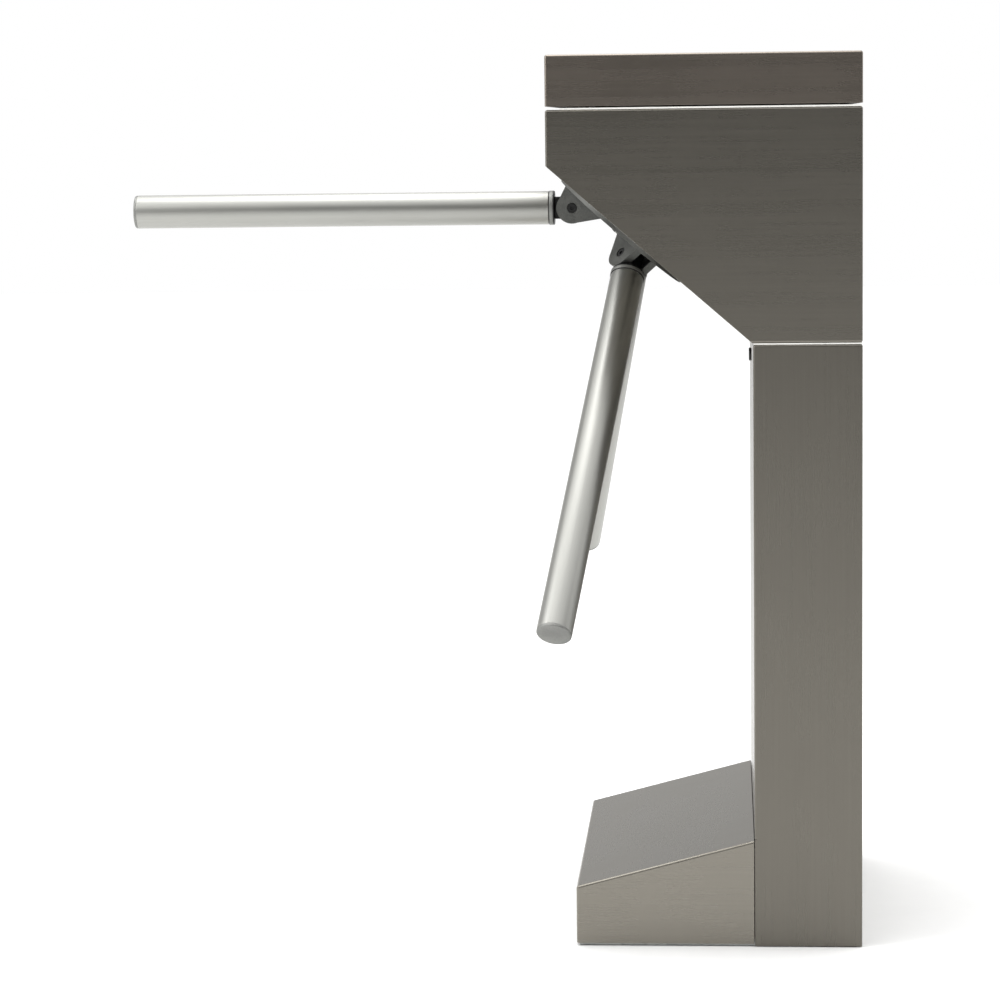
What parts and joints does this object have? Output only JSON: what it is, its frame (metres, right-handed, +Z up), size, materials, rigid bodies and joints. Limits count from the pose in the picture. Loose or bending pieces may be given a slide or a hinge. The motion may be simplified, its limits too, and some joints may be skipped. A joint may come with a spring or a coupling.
{
  "type": "visitor counter turnstile",
  "caption": "Floor-standing tripod turnstile: slanted three-arm hub on a narrow steel column with a hinged lid, service panel and sloped base cover.",
  "frame": {"origin": "on the floor, at the centre of the four anchor holes in the base plate", "axes": "+Z up, +Y along the walking direction, -X towards the passage that the arms block, +X towards the column side"},
  "size_m": [0.8331, 0.7964, 0.98],
  "materials": {
    "shell_steel": "fine vertical brushed grain",
    "arm_steel": "satin, polished along the tube",
    "cast_grey": "grey cast metal",
    "knuckle_dark": "blackened steel",
    "zinc_steel": "zinc plated",
    "machined_steel": "machined",
    "spring_steel": "bright spring steel",
    "lock_chrome": "polished",
    "lock_core": "worn nickel over brass",
    "black_plastic": "moulded",
    "wheel_white": "moulded",
    "board_green": "solder mask"
  },
  "bodies": {
    "root": {"base_plate": "zinc_steel", "base_cover": "shell_steel", "base_cover_screws": "machined_steel", "column_frame": "zinc_steel", "column_shell": "shell_steel", "panel_hinge_brackets": "zinc_steel", "head_shell": "shell_steel", "face_plate": "shell_steel", "lid_hinge_brackets": "zinc_steel", "lid_catch": "zinc_steel", "chassis_brackets": "zinc_steel", "chassis_plate": "zinc_steel", "bearing_housing": "cast_grey", "housing_bolts": "machined_steel", "bearings": "machined_steel", "pawl_posts": "zinc_steel", "entry_spring": "spring_steel", "exit_spring": "spring_steel", "solenoids": "black_plastic", "rear_plate": "zinc_steel", "damper_body": "black_plastic", "counter_body": "black_plastic", "detent_spring": "spring_steel", "encoder_sensors": "black_plastic", "control_board": "board_green", "power_supply": "zinc_steel"},
    "hub": {"hub": "cast_grey", "hub_bolt": "machined_steel", "clevis_pins": "knuckle_dark", "main_shaft": "machined_steel", "lock_wheel": "cast_grey", "main_gear": "machined_steel", "detent_cam": "cast_grey", "encoder_disc": "black_plastic"},
    "arm_1": {"arm_1_knuckle": "knuckle_dark", "arm_1_tube": "arm_steel", "arm_1_cap": "cast_grey"},
    "arm_2": {"arm_2_knuckle": "knuckle_dark", "arm_2_tube": "arm_steel", "arm_2_cap": "cast_grey"},
    "arm_3": {"arm_3_knuckle": "knuckle_dark", "arm_3_tube": "arm_steel", "arm_3_cap": "cast_grey"},
    "lid": {"lid": "shell_steel", "lid_hinge_leaves": "zinc_steel", "lid_lock_body": "lock_chrome"},
    "lid_key": {"lid_lock_plug": "lock_core"},
    "service_panel": {"service_panel": "shell_steel", "panel_hinge_leaves": "zinc_steel", "panel_lock_body": "lock_chrome"},
    "panel_key": {"panel_lock_plug": "lock_core"},
    "entry_pawl": {"entry_pawl": "machined_steel"},
    "exit_pawl": {"exit_pawl": "machined_steel"},
    "entry_plunger": {"entry_plunger": "machined_steel"},
    "exit_plunger": {"exit_plunger": "machined_steel"},
    "damper_pinion": {"damper_pinion": "machined_steel"},
    "counter_pinion": {"counter_pinion": "machined_steel"},
    "counter_units": {"counter_units_wheel": "wheel_white"},
    "counter_tens": {"counter_tens_wheel": "wheel_white"},
    "counter_hundreds": {"counter_hundreds_wheel": "wheel_white"}
  },
  "joints": [
    {"name": "hub_spin", "type": "hinge", "parent": "root", "child": "hub", "pos_m": [-0.10275, 0, 0.79065], "axis": [-0.6561, 0, -0.7547], "continuous": true, "deforming": ["detent_spring"]},
    {"name": "arm_1_fold", "type": "hinge", "parent": "hub", "child": "arm_1", "pos_m": [-0.16509, 0, 0.81039], "axis": [0, -1, 0], "range_deg": [0, 90]},
    {"name": "arm_2_fold", "type": "hinge", "parent": "hub", "child": "arm_2", "pos_m": [-0.09716, -0.05196, 0.75135], "axis": [0.6536, 0.5, -0.5682], "range_deg": [0, 25]},
    {"name": "arm_3_fold", "type": "hinge", "parent": "hub", "child": "arm_3", "pos_m": [-0.09716, 0.05196, 0.75135], "axis": [-0.6536, 0.5, 0.5682], "range_deg": [0, 25]},
    {"name": "lid_lift", "type": "hinge", "parent": "root", "child": "lid", "pos_m": [-0.1755, 0, 0.943], "axis": [0, -1, 0], "range_deg": [0, 85]},
    {"name": "lid_key_turn", "type": "hinge", "parent": "lid", "child": "lid_key", "pos_m": [0.1575, 0, 0.95], "axis": [1, 0, 0], "range_deg": [0, 90]},
    {"name": "panel_tilt", "type": "hinge", "parent": "root", "child": "service_panel", "pos_m": [0.0475, 0, 0.1315], "axis": [0, -1, 0], "range_deg": [0, 12]},
    {"name": "panel_key_turn", "type": "hinge", "parent": "service_panel", "child": "panel_key", "pos_m": [0.0395, 0, 0.64], "axis": [1, 0, 0], "range_deg": [0, 90]},
    {"name": "entry_pawl_swing", "type": "hinge", "parent": "root", "child": "entry_pawl", "pos_m": [-0.00826, -0.062, 0.80789], "axis": [-0.6561, 0, -0.7547], "range_deg": [0, 11], "stiffness_Nm_per_rad": 0.6, "springref_deg": -8.59},
    {"name": "exit_pawl_swing", "type": "hinge", "parent": "root", "child": "exit_pawl", "pos_m": [-0.00826, 0.062, 0.80789], "axis": [0.6561, 0, 0.7547], "range_deg": [0, 11], "stiffness_Nm_per_rad": 0.6, "springref_deg": -8.59},
    {"name": "entry_plunger_slide", "type": "slide", "parent": "root", "child": "entry_plunger", "axis": [0, -1, 0], "range_m": [0, 0.0054], "deforming": ["entry_spring"]},
    {"name": "exit_plunger_slide", "type": "slide", "parent": "root", "child": "exit_plunger", "axis": [0, 1, 0], "range_m": [0, 0.0054], "deforming": ["exit_spring"]},
    {"name": "damper_spin", "type": "hinge", "parent": "root", "child": "damper_pinion", "pos_m": [0.00212, 0.0413, 0.82139], "axis": [-0.6561, 0, -0.7547], "continuous": true},
    {"name": "counter_spin", "type": "hinge", "parent": "root", "child": "counter_pinion", "pos_m": [0.00212, -0.0413, 0.82139], "axis": [-0.6561, 0, -0.7547], "continuous": true},
    {"name": "units_spin", "type": "hinge", "parent": "root", "child": "counter_units", "pos_m": [0.01502, -0.0413, 0.8804], "axis": [-0.6561, 0, -0.7547], "continuous": true},
    {"name": "tens_spin", "type": "hinge", "parent": "root", "child": "counter_tens", "pos_m": [0.01962, -0.0413, 0.88569], "axis": [-0.6561, 0, -0.7547], "continuous": true},
    {"name": "hundreds_spin", "type": "hinge", "parent": "root", "child": "counter_hundreds", "pos_m": [0.02421, -0.0413, 0.89097], "axis": [-0.6561, 0, -0.7547], "continuous": true}
  ],
  "couplings": [
    {"joint": "entry_plunger_slide", "follows": "entry_pawl_swing", "m_per_rad": 0.027828},
    {"joint": "exit_plunger_slide", "follows": "exit_pawl_swing", "m_per_rad": 0.027828},
    {"joint": "damper_spin", "follows": "hub_spin", "ratio": -3},
    {"joint": "counter_spin", "follows": "hub_spin", "ratio": -3},
    {"joint": "units_spin", "follows": "hub_spin", "ratio": 0.3},
    {"joint": "tens_spin", "follows": "hub_spin", "ratio": 0.03},
    {"joint": "hundreds_spin", "follows": "hub_spin", "ratio": 0.003}
  ]
}
